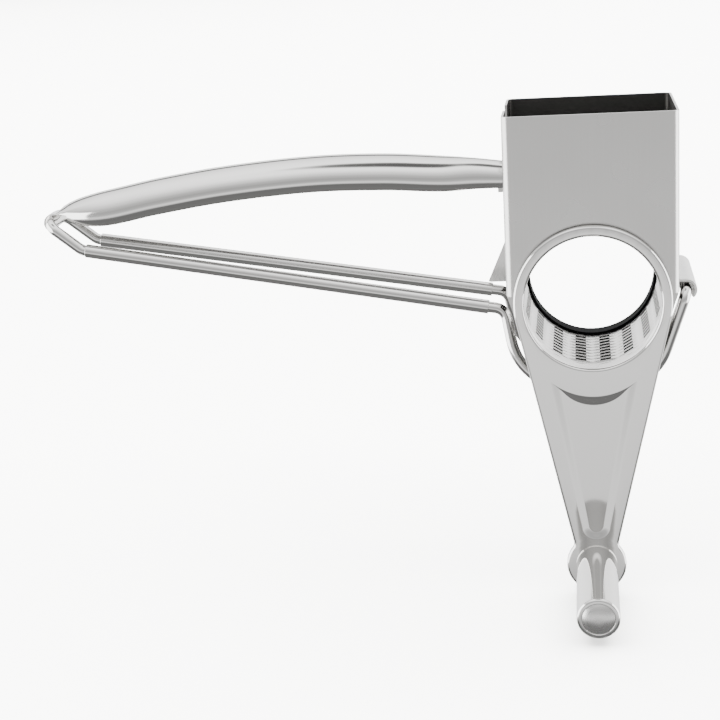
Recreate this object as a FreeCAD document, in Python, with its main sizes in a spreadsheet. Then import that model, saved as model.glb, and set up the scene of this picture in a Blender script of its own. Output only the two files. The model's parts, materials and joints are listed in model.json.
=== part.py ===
"""Rotary cheese grater: hopper and drum housing on a bent wire frame, press handle, cranked drum.

Millimetres, +Z up. The origin is on the drum's axis, half way along the hopper's depth.
+X points from the handle's hinge to the hopper, and -Y to the side that the crank is on.
"""

import FreeCAD, Part
import math
import os

import Sketcher

VEC = FreeCAD.Vector
SIZES = {
    # hopper and the housing rings under it
    "hopper_width": 57.0,
    "hopper_depth": 47.7,
    "hopper_top": 62.2,
    "hopper_foot": 2.3,
    "hopper_sheet": 0.8,
    "hopper_corner": 2.5,
    "housing_radius": 26.0,
    "housing_tangent_x": 24.43,
    "housing_tangent_z": 8.9,
    "front_hole_radius": 24.5,
    "rear_hole_radius": 24.95,
    "slot_half_width": 7.0,
    "slot_foot": 32.0,
    "cheek_inset": 0.4,
    "cheek_lap": 1.0,
    # drum, its collar and its bearing ring
    "drum_inner": 23.0,
    "drum_sheet": 0.5,
    "drum_front": -19.0,
    "drum_rear": 17.4,
    "slot_columns": 17,
    "slot_rows": 9,
    "slot_pitch": 3.5,
    "slot_long": 3.2,
    "slot_wide": 1.7,
    "first_slot": -15.4,
    "collar_radius": 24.42,
    "collar_lap": 16.9,
    "ring_outer": 24.9,
    "ring_flange": 26.0,
    "ring_lap": 15.0,
    "ring_rear": 23.8,
    "ring_flange_front": 22.0,
    "ring_flange_rear": 22.95,
    "ring_clearance": 0.1,
    "ring_end_gap": 0.15,
    # crank plate
    "plate_front": 26.75,
    "plate_back": 24.75,
    "plate_radius": 26.2,
    "plate_tangent_x": 25.56,
    "plate_tangent_z": 5.76,
    "crank_length": 93.4,
    "ear_radius": 10.2,
    "neck_half": 7.4,
    "neck_z": 86.3,
    "dish_depth": 1.0,
    "dish_top_half": 15.5,
    "dish_top_z": 31.5,
    "dish_corner_rise": 2.0,
    "dish_shoulder_sag": 0.6,
    "dish_sag": 1.6,
    "dish_foot_half": 5.2,
    "dish_foot_z": 79.0,
    "dish_foot_sag": 2.6,
    # knob
    "knob_radius": 7.0,
    "knob_sheet": 0.8,
    "knob_back": 27.1,
    "knob_front": 69.4,
    "knob_lip": 5.4,
    "knob_chamfer": 0.6,
    "liner_inset": 0.2,
    "liner_end_gap": 0.3,
    "cap_rise": 1.1,
    "cap_back": 66.4,
    "pin_radius": 2.5,
    "pin_bore": 2.56,
    "pin_head": 3.6,
    "pin_front": 64.0,
    "pin_head_thick": 1.5,
    "rivet_radius": 4.0,
    "rivet_back": 24.05,
    # wire frame and its sleeves
    "wire_radius": 1.9,
    "hinge_x": -189.3,
    "hinge_z": 28.6,
    "leg_left_y": 9.2,
    "leg_right_y": 12.5,
    "cradle_y": 20.5,
    "knee_x": -178.0,
    "knee_z": 19.45,
    "hip_x": -29.5,
    "hip_z": -4.75,
    "cradle_left": -24.8,
    "cradle_right": 19.9,
    "cradle_z": -31.0,
    "bar_x": 30.9,
    "bar_z": 1.9,
    "hinge_bend": 3.4,
    "knee_bend": 5.0,
    "hip_bend": 4.5,
    "cradle_bend": 19.0,
    "bar_bend": 3.6,
    "sleeve_radius": 2.38,
    "sleeve_bore": 1.98,
    "sleeve_left": -176.4,
    "sleeve_right": -35.1,
    # hook on the right wall and gusset on the left wall
    "hook_inner": 2.7,
    "hook_sheet": 1.0,
    "hook_half": 18.2,
    "hook_top_angle": 90.0,
    "hook_lip_angle": -48.0,
    "gusset_y": 12.0,
    "gusset_sheet": 0.8,
    "gusset_top": 17.2,
    "gusset_foot": -0.9,
    "gusset_reach": -36.3,
    "gusset_nose": 0.3,
    # press handle and pusher
    "shell_sheet": 0.9,
    "curl_inner": 2.2,
    "curl_sheet": 1.1,
    "curl_half": 5.4,
    "curl_top_angle": 100.0,
    "curl_end_angle": 250.0,
    "curl_tail": 5.5,
    "arm_half": 5.2,
    "arm_left": -31.0,
    "arm_right": 17.0,
    "arm_foot": 34.4,
    "arm_thick": 1.4,
    "shoe_radius": 25.0,
    "shoe_sheet": 1.0,
    "shoe_half_x": 22.5,
    "shoe_half_y": 21.6,
    "bridge_half_x": 12.0,
    "bridge_half_y": 8.0,
    "bridge_sheet": 1.0,
    "bridge_foot": 18.0,
    "rivet_spacing": 14.0,
    "press_rivet": 1.6,
    "press_rivet_head": 0.9,
}
# press handle shell: position along X, bottom edge, crown height and half width at each section
SHELL_SECTIONS = [
    (-186.0, 30.4, 3.5, 5.6),
    (-181.5, 28.6, 7.4, 7.6),
    (-174.0, 27.7, 10.4, 9.3),
    (-166.0, 28.1, 11.6, 10.0),
    (-150.0, 31.1, 11.6, 10.2),
    (-125.0, 34.8, 11.3, 10.4),
    (-95.0, 37.2, 11.1, 10.4),
    (-70.0, 37.1, 11.1, 10.2),
    (-50.0, 35.8, 10.9, 9.2),
    (-38.0, 35.9, 9.6, 6.6),
    (-24.5, 35.8, 7.8, 5.9),
]

ARCH_STEPS = 8
OVERLAP = 1.0

doc = FreeCAD.newDocument("rotary_grater")
sheet = doc.addObject("Spreadsheet::Sheet", "size")
for row, (alias, number) in enumerate(SIZES.items(), start=1):
    sheet.set(f"A{row}", alias)
    sheet.set(f"B{row}", str(number))
    sheet.setAlias(f"B{row}", alias)
doc.recompute()
nodes = {}


def size(alias):
    """One driving dimension, read from the sheet."""
    return float(sheet.get(alias))


def worked_out(expression):
    """The number that an expression on the sheet gives."""
    return float(sheet.evalExpression(expression))


def named(name, piece):
    """Gives a finished sub-part the name of its node."""
    piece.Label = name
    nodes[name] = piece
    return piece


def primitive(kind, name, **expressions):
    """A Part primitive whose properties follow the sheet."""
    piece = doc.addObject(kind, name)
    for prop, expression in expressions.items():
        piece.setExpression(prop.replace("__", "."), expression)
    return piece


def boolean(kind, name, first, second):
    """A Part::Cut, Part::Fuse or Part::Common of two objects."""
    piece = doc.addObject(kind, name)
    piece.Base, piece.Tool = first, second
    return piece


def plane(body, role):
    """One of a body's own origin planes."""
    return next(item for item in body.Origin.OriginFeatures if item.Role == role)


def sketch_on(body, name, role, offset="0"):
    """An empty sketch on an origin plane, moved along the plane's normal."""
    sketch = body.newObject("Sketcher::SketchObject", name)
    sketch.AttachmentSupport = [(plane(body, role), "")]
    sketch.MapMode = "FlatFace"
    sketch.setExpression("AttachmentOffset.Base.z", offset)
    return sketch


def outline(sketch, points):
    """A closed polygon; each corner's two coordinates are expressions on the sheet."""
    spots = [VEC(worked_out(across), worked_out(up), 0) for across, up in points]
    count = len(spots)
    for index in range(count):
        sketch.addGeometry(Part.LineSegment(spots[index], spots[(index + 1) % count]), False)
    for index in range(count):
        following = (index + 1) % count
        sketch.addConstraint(Sketcher.Constraint("Coincident", index, 2, following, 1))
    for index, (across, up) in enumerate(points):
        for kind, expression, value in (
            ("DistanceX", across, spots[index].x),
            ("DistanceY", up, spots[index].y),
        ):
            number = sketch.addConstraint(Sketcher.Constraint(kind, -1, 1, index, 1, value))
            sketch.setExpression(f"Constraints[{number}]", expression)


def ring_line(sketch, radius, across="0", up="0"):
    """A circle whose radius and centre are expressions on the sheet."""
    centre = VEC(worked_out(across), worked_out(up), 0)
    index = sketch.addGeometry(Part.Circle(centre, VEC(0, 0, 1), worked_out(radius)), False)
    number = sketch.addConstraint(Sketcher.Constraint("Radius", index, worked_out(radius)))
    sketch.setExpression(f"Constraints[{number}]", radius)
    for kind, expression, value in (("DistanceX", across, centre.x), ("DistanceY", up, centre.y)):
        number = sketch.addConstraint(Sketcher.Constraint(kind, -1, 1, index, 3, value))
        sketch.setExpression(f"Constraints[{number}]", expression)


def pad(body, sketch, length):
    """Extrudes a sketch along its plane's normal."""
    feature = body.newObject("PartDesign::Pad", sketch.Name + "_pad")
    feature.Profile = sketch
    feature.setExpression("Length", length)
    doc.recompute()
    return feature


def pocket(body, sketch, length):
    """Cuts a sketch against its plane's normal, and checks that it removed material."""
    before = body.Shape.Volume
    feature = body.newObject("PartDesign::Pocket", sketch.Name + "_pocket")
    feature.Profile = sketch
    feature.setExpression("Length", length)
    doc.recompute()
    if not feature.Shape.Volume < before - 0.01:
        raise RuntimeError(f"{feature.Name} cut nothing")
    return feature


def turned(name, points):
    """A body turned about the Y axis from a profile of radius and Y expressions."""
    body = doc.addObject("PartDesign::Body", name)
    sketch = sketch_on(body, name + "_profile", "XY_Plane")
    outline(sketch, points)
    feature = body.newObject("PartDesign::Revolution", name + "_turn")
    feature.Profile = sketch
    feature.ReferenceAxis = (sketch, ["V_Axis"])
    feature.Angle = 360.0
    doc.recompute()
    return body


def make_hopper():
    """Sheet-steel hopper: a four-sided tube whose front and rear walls run down into two rings."""
    body = doc.addObject("PartDesign::Body", "hopper_shell")
    half_x, half_y = "size.hopper_width / 2", "size.hopper_depth / 2"
    foot = sketch_on(body, "hopper_plan", "XY_Plane", "size.hopper_foot")
    outline(
        foot,
        [("-" + half_x, "-" + half_y), (half_x, "-" + half_y), (half_x, half_y), ("-" + half_x, half_y)],
    )
    block = pad(body, foot, "size.hopper_top - size.hopper_foot")
    upright = [
        f"Edge{number}"
        for number, edge in enumerate(block.Shape.Edges, start=1)
        if abs(edge.tangentAt(edge.FirstParameter).z) > 0.99
    ]
    corners = body.newObject("PartDesign::Fillet", "hopper_corners")
    corners.Base = (block, upright)
    corners.setExpression("Radius", "size.hopper_corner")
    doc.recompute()
    level = [
        f"Face{number}"
        for number, face in enumerate(corners.Shape.Faces, start=1)
        if abs(face.normalAt(0, 0).z) > 0.99
    ]
    walls = body.newObject("PartDesign::Thickness", "hopper_walls")
    walls.Base = (corners, level)
    walls.setExpression("Value", "size.hopper_sheet")
    walls.Reversed = True
    doc.recompute()
    ends = {
        "front": (half_y + " - size.hopper_sheet", "size.front_hole_radius", half_y),
        "rear": ("-" + half_y, "size.rear_hole_radius", "-" + half_y + " + size.hopper_sheet"),
    }
    for end, (pad_plane, hole, cut_plane) in ends.items():
        cheek = sketch_on(body, end + "_cheek", "XZ_Plane", pad_plane)
        outline(
            cheek,
            [
                ("-" + half_x + " + size.hopper_corner", "size.hopper_foot + size.cheek_lap"),
                ("-" + half_x + " + size.cheek_inset", "size.hopper_foot"),
                ("-size.housing_tangent_x", "-size.housing_tangent_z"),
                ("size.housing_tangent_x", "-size.housing_tangent_z"),
                (half_x + " - size.cheek_inset", "size.hopper_foot"),
                (half_x + " - size.hopper_corner", "size.hopper_foot + size.cheek_lap"),
            ],
        )
        pad(body, cheek, "size.hopper_sheet")
        disc = sketch_on(body, end + "_disc", "XZ_Plane", pad_plane)
        ring_line(disc, "size.housing_radius")
        pad(body, disc, "size.hopper_sheet")
        hole_sketch = sketch_on(body, end + "_hole", "XZ_Plane", cut_plane)
        ring_line(hole_sketch, hole)
        pocket(body, hole_sketch, "size.hopper_sheet + 0.2")
    slot = sketch_on(body, "handle_slot", "YZ_Plane", "-" + half_x + " + 2 * size.hopper_sheet")
    outline(
        slot,
        [
            ("-size.slot_half_width", "size.slot_foot"),
            ("size.slot_half_width", "size.slot_foot"),
            ("size.slot_half_width", "size.hopper_top + 1"),
            ("-size.slot_half_width", "size.hopper_top + 1"),
        ],
    )
    pocket(body, slot, "3 * size.hopper_sheet")
    named("hopper_shell", body)


def make_hook():
    """Sheet hook that reaches out of the right wall and over the frame's right crossbar."""
    outer, inner = size("hook_inner") + size("hook_sheet"), size("hook_inner")
    start, end = math.radians(size("hook_top_angle")), math.radians(size("hook_lip_angle"))
    centre = VEC(size("bar_x"), 0, size("bar_z"))
    wall_x = size("hopper_width") / 2

    def on_arc(radius, angle):
        return centre + VEC(radius * math.cos(angle), 0, radius * math.sin(angle))

    middle = (start + end) / 2
    top_outer = on_arc(outer, start)
    top_inner = on_arc(inner, start)
    wall_outer = VEC(wall_x, 0, top_outer.z)
    wall_inner = VEC(wall_x, 0, top_inner.z)
    edges = [
        Part.LineSegment(wall_outer, top_outer),
        Part.Arc(top_outer, on_arc(outer, middle), on_arc(outer, end)),
        Part.LineSegment(on_arc(outer, end), on_arc(inner, end)),
        Part.Arc(on_arc(inner, end), on_arc(inner, middle), top_inner),
        Part.LineSegment(top_inner, wall_inner),
        Part.LineSegment(wall_inner, wall_outer),
    ]
    section = Part.Face(Part.Wire([edge.toShape() for edge in edges]))
    half = size("hook_half")
    section.translate(VEC(0, -half, 0))
    piece = doc.addObject("Part::Feature", "hook_plate")
    piece.Shape = section.extrude(VEC(0, 2 * half, 0))
    named("hook_plate", piece)


def make_gusset():
    """Triangular gusset between the left wall and the rear leg of the frame."""
    body = doc.addObject("PartDesign::Body", "left_gusset")
    sketch = sketch_on(body, "gusset_side", "XZ_Plane", "-size.gusset_y - size.gusset_sheet / 2")
    wall = "-size.hopper_width / 2"
    outline(
        sketch,
        [
            (wall, "size.gusset_top"),
            ("size.gusset_reach", "size.gusset_foot + size.gusset_nose"),
            ("size.gusset_reach + 2 * size.gusset_nose", "size.gusset_foot"),
            (wall, "size.gusset_foot"),
        ],
    )
    pad(body, sketch, "size.gusset_sheet")
    named("left_gusset", body)


def bend(before, corner, after, radius):
    """The arc that rounds a corner, as its start, middle and end points."""
    back = (before - corner).normalize()
    ahead = (after - corner).normalize()
    half_inside = back.getAngle(ahead) / 2
    reach = radius / math.tan(half_inside)
    bisector = (back + ahead).normalize()
    centre = corner + bisector * (radius / math.sin(half_inside))
    return corner + back * reach, centre - bisector * radius, corner + ahead * reach


def rounded_path(points, radii):
    """A wire of straight runs joined by tangent arcs, one radius for each inner point."""
    edges = []
    start = points[0]
    for index, radius in enumerate(radii, start=1):
        first, middle, last = bend(points[index - 1], points[index], points[index + 1], radius)
        edges.append(Part.LineSegment(start, first).toShape())
        edges.append(Part.Arc(first, middle, last).toShape())
        start = last
    edges.append(Part.LineSegment(start, points[-1]).toShape())
    return Part.Wire(edges)


def frame_points():
    """Corners of the front half of the frame, from the hinge bar's middle to the right bar's."""
    left, right, cradle = size("leg_left_y"), size("leg_right_y"), size("cradle_y")
    return [
        VEC(size("hinge_x"), 0, size("hinge_z")),
        VEC(size("hinge_x"), -left, size("hinge_z")),
        VEC(size("knee_x"), -left, size("knee_z")),
        VEC(size("hip_x"), -right, size("hip_z")),
        VEC(size("cradle_left"), -(right + cradle) / 2, size("cradle_z")),
        VEC(size("cradle_right"), -cradle + 1, size("cradle_z")),
        VEC(size("bar_x"), -cradle, size("bar_z")),
        VEC(size("bar_x"), 0, size("bar_z")),
    ]


def make_wire_frame():
    """One closed loop of round wire: hinge bar, two legs, cradle under the drum, right bar."""
    points = frame_points()
    bends = ("hinge_bend", "knee_bend", "hip_bend", "cradle_bend", "cradle_bend", "bar_bend")
    path = rounded_path(points, [size(name) for name in bends])
    section = Part.Wire(Part.Circle(points[0], VEC(0, 1, 0), size("wire_radius")).toShape())
    front = path.makePipeShell([section], True, True)
    rear = front.mirror(VEC(0, 0, 0), VEC(0, 1, 0))
    piece = doc.addObject("Part::Feature", "wire_frame")
    piece.Shape = front.fuse(rear).removeSplitter()
    named("wire_frame", piece)


def make_sleeves():
    """Two tube sleeves that cover the straight legs and make the lower grip."""
    points = frame_points()
    knee, hip = points[2], points[3]
    along = (hip - knee).normalize()
    for name, side in (("front_sleeve", 1), ("rear_sleeve", -1)):
        start = knee + along * ((size("sleeve_left") - knee.x) / along.x)
        end = knee + along * ((size("sleeve_right") - knee.x) / along.x)
        start, end = VEC(start.x, side * start.y, start.z), VEC(end.x, side * end.y, end.z)
        turn = FreeCAD.Rotation(VEC(0, 0, 1), end - start)
        place = FreeCAD.Placement(start, turn)
        length = (end - start).Length
        tube = primitive("Part::Cylinder", name + "_tube", Radius="size.sleeve_radius")
        core = primitive("Part::Cylinder", name + "_bore", Radius="size.sleeve_bore")
        for part in (tube, core):
            part.Height = length
            part.Placement = place
        named(name, boolean("Part::Cut", name, tube, core))


def arch_wire(x, foot, crown, half, drop=0.0):
    """Half an ellipse across the handle, closed by a line along its foot, or by one lower down."""
    ends = [VEC(x, -half, foot), VEC(x, half, foot)]
    points = [
        VEC(x, half * math.cos(angle), foot + crown * math.sin(angle))
        for angle in (math.pi * step / ARCH_STEPS for step in range(ARCH_STEPS + 1))
    ]
    curve = Part.BSplineCurve()
    curve.interpolate(points)
    if drop:
        low = [VEC(x, -half, foot - drop), VEC(x, half, foot - drop)]
        lines = [(ends[0], low[0]), (low[0], low[1]), (low[1], ends[1])]
    else:
        lines = [(ends[0], ends[1])]
    edges = [curve.toShape()] + [Part.LineSegment(*pair).toShape() for pair in lines]
    return Part.Wire(edges)


def make_handle():
    """Press handle: an arched shell with a tongue curled round the hinge bar."""
    skin = size("shell_sheet")
    outer = Part.makeLoft([arch_wire(*section) for section in SHELL_SECTIONS], True)
    inside = []
    for x, foot, crown, half in SHELL_SECTIONS:
        inside.append(arch_wire(x, foot, crown - skin, half - skin, 3 * OVERLAP))
    first = inside[0].copy()
    last = inside[-1].copy()
    first.translate(VEC(-OVERLAP, 0, 0))
    last.translate(VEC(OVERLAP, 0, 0))
    hollow = Part.makeLoft([first] + inside[1:-1] + [last], True)
    shell = outer.cut(hollow)
    hinge = VEC(size("hinge_x"), 0, size("hinge_z"))
    inner, rim = size("curl_inner"), size("curl_inner") + size("curl_sheet")
    half = size("curl_half")
    start, end = math.radians(size("curl_top_angle")), math.radians(size("curl_end_angle"))

    def on_curl(radius, angle):
        return hinge + VEC(radius * math.cos(angle), -half, radius * math.sin(angle))

    middle = (start + end) / 2
    along = VEC(math.sin(start), 0, -math.cos(start)) * size("curl_tail")
    edges = [
        Part.LineSegment(on_curl(rim, start) + along, on_curl(rim, start)),
        Part.Arc(on_curl(rim, start), on_curl(rim, middle), on_curl(rim, end)),
        Part.LineSegment(on_curl(rim, end), on_curl(inner, end)),
        Part.Arc(on_curl(inner, end), on_curl(inner, middle), on_curl(inner, start)),
        Part.LineSegment(on_curl(inner, start), on_curl(inner, start) + along),
        Part.LineSegment(on_curl(inner, start) + along, on_curl(rim, start) + along),
    ]
    section = Part.Face(Part.Wire([edge.toShape() for edge in edges]))
    curl = section.extrude(VEC(0, 2 * half, 0))
    piece = doc.addObject("Part::Feature", "press_handle")
    piece.Shape = shell.fuse(curl)
    named("press_handle", piece)


def make_pusher():
    """Pusher inside the hopper: arm, bridge, curved shoe and the rivets that join them."""
    arm = primitive(
        "Part::Box",
        "pusher_arm",
        Length="size.arm_right - size.arm_left",
        Width="2 * size.arm_half",
        Height="size.arm_thick",
        Placement__Base__x="size.arm_left",
        Placement__Base__y="-size.arm_half",
        Placement__Base__z="size.arm_foot",
    )
    outside = primitive(
        "Part::Box",
        "bridge_outside",
        Length="2 * size.bridge_half_x",
        Width="2 * size.bridge_half_y",
        Height="size.arm_foot - size.bridge_foot",
        Placement__Base__x="-size.bridge_half_x",
        Placement__Base__y="-size.bridge_half_y",
        Placement__Base__z="size.bridge_foot",
    )
    inside = primitive(
        "Part::Box",
        "bridge_inside",
        Length="2 * size.bridge_half_x + 2",
        Width="2 * (size.bridge_half_y - size.bridge_sheet)",
        Height="size.arm_foot - size.bridge_sheet - size.bridge_foot + 1",
        Placement__Base__x="-size.bridge_half_x - 1",
        Placement__Base__y="-size.bridge_half_y + size.bridge_sheet",
        Placement__Base__z="size.bridge_foot - 1",
    )
    channel = boolean("Part::Cut", "bridge_channel", outside, inside)

    def along_y(name, radius, half):
        rod = primitive(
            "Part::Cylinder",
            name,
            Radius=radius,
            Height=f"2 * ({half})",
            Placement__Base__y=f"({half})",
        )
        rod.Placement = FreeCAD.Placement(rod.Placement.Base, FreeCAD.Rotation(VEC(1, 0, 0), 90))
        return rod

    top_of_shoe = "size.shoe_radius + size.shoe_sheet"
    trim = along_y("bridge_trim", top_of_shoe, "size.bridge_half_y + 1")
    bridge = boolean("Part::Cut", "pusher_bridge", channel, trim)
    full = along_y("shoe_outside", top_of_shoe, "size.shoe_half_y")
    drum_room = along_y("shoe_inside", "size.shoe_radius", "size.shoe_half_y + 1")
    tube = boolean("Part::Cut", "shoe_tube", full, drum_room)
    window = primitive(
        "Part::Box",
        "shoe_window",
        Length="2 * size.shoe_half_x",
        Width="2 * size.shoe_half_y + 2",
        Height="size.shoe_radius + size.shoe_sheet + 1",
        Placement__Base__x="-size.shoe_half_x",
        Placement__Base__y="-size.shoe_half_y - 1",
    )
    shoe = boolean("Part::Common", "pusher_shoe", tube, window)
    stacks = []
    for side in (-1, 1):
        shaft = primitive("Part::Cylinder", f"press_rivet_shaft_{side + 1}", Radius="size.press_rivet / 2")
        head = primitive("Part::Cylinder", f"press_rivet_head_{side + 1}", Radius="size.press_rivet")
        shaft.setExpression("Height", "size.arm_thick + size.bridge_sheet")
        shaft.setExpression("Placement.Base.z", "size.arm_foot - size.bridge_sheet")
        head.setExpression("Height", "size.press_rivet_head")
        head.setExpression("Placement.Base.z", "size.arm_foot + size.arm_thick")
        for part in (shaft, head):
            part.setExpression("Placement.Base.x", f"{side} * size.rivet_spacing / 2")
        stacks.append(boolean("Part::Fuse", f"press_rivet_{side + 1}", shaft, head))
    rivets = doc.addObject("Part::Compound", "pusher_rivets")
    rivets.Links = stacks
    holes = doc.addObject("Part::Compound", "pusher_rivet_holes")
    holes.Links = stacks
    named("pusher_arm", boolean("Part::Cut", "pusher_arm_drilled", arm, holes))
    named("pusher_bridge", boolean("Part::Cut", "pusher_bridge_drilled", bridge, holes))
    named("pusher_shoe", shoe)
    named("pusher_rivets", rivets)


def make_drum():
    """Grating drum: a thin tube pierced by columns of slots."""
    base = turned(
        "drum_blank",
        [
            ("size.drum_inner", "size.drum_front"),
            ("size.drum_inner + size.drum_sheet", "size.drum_front"),
            ("size.drum_inner + size.drum_sheet", "size.drum_rear"),
            ("size.drum_inner", "size.drum_rear"),
        ],
    )
    columns, rows = int(size("slot_columns")), int(size("slot_rows"))
    long, wide = size("slot_long"), size("slot_wide")
    depth = size("drum_sheet") + 2 * OVERLAP
    foot = -size("drum_inner") - size("drum_sheet") - OVERLAP
    cutters = []
    for column in range(columns):
        turn = FreeCAD.Rotation(VEC(0, 1, 0), 360.0 * (column + 0.5) / columns)
        for row in range(rows):
            y = size("first_slot") + row * size("slot_pitch")
            block = Part.makeBox(long, wide, depth)
            block.translate(VEC(-long / 2, y - wide / 2, foot))
            block.Placement = FreeCAD.Placement(VEC(0, 0, 0), turn).multiply(block.Placement)
            cutters.append(block)
    slots = doc.addObject("Part::Feature", "drum_slots")
    slots.Shape = Part.makeCompound(cutters)
    named("drum_shell", boolean("Part::Cut", "drum_shell", base, slots))


def make_turned_parts():
    """Collar, bearing ring, and the knob with its pin."""
    shell = "size.drum_inner + size.drum_sheet"
    socket = shell + " + size.ring_clearance"
    socket_end = "size.drum_rear + size.ring_end_gap"
    collar = [
        ("size.drum_inner", "-size.plate_back"),
        ("size.collar_radius", "-size.plate_back"),
        ("size.collar_radius", "-size.collar_lap"),
        (shell, "-size.collar_lap"),
        (shell, "size.drum_front"),
        ("size.drum_inner", "size.drum_front"),
    ]
    ring = [
        (socket, "size.ring_lap"),
        ("size.ring_outer", "size.ring_lap"),
        ("size.ring_outer", "size.ring_flange_front"),
        ("size.ring_flange", "size.ring_flange_front"),
        ("size.ring_flange", "size.ring_flange_rear"),
        ("size.ring_outer", "size.ring_flange_rear"),
        ("size.ring_outer", "size.ring_rear"),
        ("size.drum_inner", "size.ring_rear"),
        ("size.drum_inner", socket_end),
        (socket, socket_end),
    ]
    for name, profile in (("drum_collar", collar), ("bearing_ring", ring)):
        named(name, turned(name, profile))
    pin = [
        ("0", "-size.rivet_back"),
        ("size.rivet_radius", "-size.rivet_back"),
        ("size.rivet_radius", "-size.plate_back"),
        ("size.pin_radius", "-size.plate_back"),
        ("size.pin_radius", "-size.pin_front"),
        ("size.pin_head", "-size.pin_front"),
        ("size.pin_head", "-size.pin_front - size.pin_head_thick"),
        ("0", "-size.pin_front - size.pin_head_thick"),
    ]
    bore = "size.knob_radius - size.knob_sheet"
    liner = [
        ("size.pin_bore", "-size.knob_back - size.liner_inset"),
        (bore, "-size.knob_back - size.liner_inset"),
        (bore, "-size.pin_front + size.liner_end_gap"),
        ("size.pin_bore", "-size.pin_front + size.liner_end_gap"),
    ]
    grip = [
        (bore, "-size.knob_back"),
        ("size.knob_radius", "-size.knob_back"),
        ("size.knob_radius", "-size.knob_front + size.knob_chamfer"),
        ("size.knob_radius - size.knob_chamfer", "-size.knob_front"),
        ("size.knob_lip", "-size.knob_front"),
        ("size.knob_lip", "-size.knob_front + size.knob_sheet"),
        (bore, "-size.knob_front + size.knob_sheet"),
    ]
    cap = [
        ("0", "-size.cap_back"),
        (bore, "-size.cap_back"),
        (bore, "-size.knob_front + size.knob_sheet"),
        ("size.knob_lip", "-size.knob_front + size.knob_sheet"),
        ("size.knob_lip", "-size.knob_front"),
        ("0.86 * size.knob_lip", "-size.knob_front - 0.5 * size.cap_rise"),
        ("0.5 * size.knob_lip", "-size.knob_front - 0.9 * size.cap_rise"),
        ("0", "-size.knob_front - size.cap_rise"),
    ]
    on_crank = {"knob_pin": pin, "knob_liner": liner, "knob_grip": grip, "knob_cap": cap}
    for name, profile in on_crank.items():
        body = named(name, turned(name, profile))
        body.setExpression("Placement.Base.z", "-size.crank_length")


def make_crank():
    """Crank plate: a ring round the drum's mouth, a dished tapering arm and an ear for the knob."""
    body = doc.addObject("PartDesign::Body", "crank_plate")
    thick = "size.plate_front - size.plate_back"
    arm = sketch_on(body, "crank_arm", "XZ_Plane", "size.plate_back")
    outline(
        arm,
        [
            ("-size.plate_tangent_x", "-size.plate_tangent_z"),
            ("-size.neck_half", "-size.neck_z"),
            ("size.neck_half", "-size.neck_z"),
            ("size.plate_tangent_x", "-size.plate_tangent_z"),
        ],
    )
    pad(body, arm, thick)
    for name, radius, up in (
        ("crank_ring", "size.plate_radius", "0"),
        ("crank_ear", "size.ear_radius", "-size.crank_length"),
    ):
        sketch = sketch_on(body, name, "XZ_Plane", "size.plate_back")
        ring_line(sketch, radius, "0", up)
        pad(body, sketch, thick)
    for name, radius, up in (
        ("drum_mouth", "size.drum_inner", "0"),
        ("pin_hole", "size.pin_radius", "-size.crank_length"),
    ):
        sketch = sketch_on(body, name, "XZ_Plane", "size.plate_front + 0.1")
        ring_line(sketch, radius, "0", up)
        pocket(body, sketch, thick + " + 0.2")
    dish = sketch_on(body, "crank_dish", "XZ_Plane", "size.plate_front")
    corner = "-size.dish_top_z + size.dish_corner_rise"
    shoulder = "-size.dish_top_z - size.dish_shoulder_sag"
    toe = "-size.dish_foot_z - size.dish_foot_sag"
    outline(
        dish,
        [
            ("-size.dish_top_half", corner),
            ("-0.5 * size.dish_top_half", shoulder),
            ("0", "-size.dish_top_z - size.dish_sag"),
            ("0.5 * size.dish_top_half", shoulder),
            ("size.dish_top_half", corner),
            ("size.dish_foot_half", "-size.dish_foot_z"),
            ("0.5 * size.dish_foot_half", toe),
            ("-0.5 * size.dish_foot_half", toe),
            ("-size.dish_foot_half", "-size.dish_foot_z"),
        ],
    )
    pocket(body, dish, "size.dish_depth")
    named("crank_plate", body)


make_hopper()
make_hook()
make_gusset()
make_wire_frame()
make_sleeves()
make_handle()
make_pusher()
make_drum()
make_turned_parts()
make_crank()
doc.recompute()

for item in doc.Objects:
    if "Invalid" in item.State or "Error" in item.State:
        raise RuntimeError(f"{item.Name} did not build: {item.State}")
for name, piece in nodes.items():
    if piece.Shape.isNull() or not piece.Shape.isValid():
        raise RuntimeError(f"{name} has no valid shape")
os.makedirs("parts", exist_ok=True)
for name, piece in nodes.items():
    piece.Shape.exportStep(f"parts/{name}.step")
    box = piece.Shape.BoundBox
    print(f"{name}: {len(piece.Shape.Solids)} solid, {piece.Shape.Volume:.0f} mm3,", box)
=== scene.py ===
"""Rotary cheese grater in polished and satin stainless steel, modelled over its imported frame.

Metres, +Z up, with the origin on the drum's axis half way along the hopper's depth.
+X points from the handle's hinge to the hopper, and -Y to the side that the crank is on.
"""

import json
import math

import bmesh
import bpy
from bpy.props import FloatProperty, FloatVectorProperty, IntProperty, PointerProperty
from mathutils import Matrix, Vector


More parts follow.
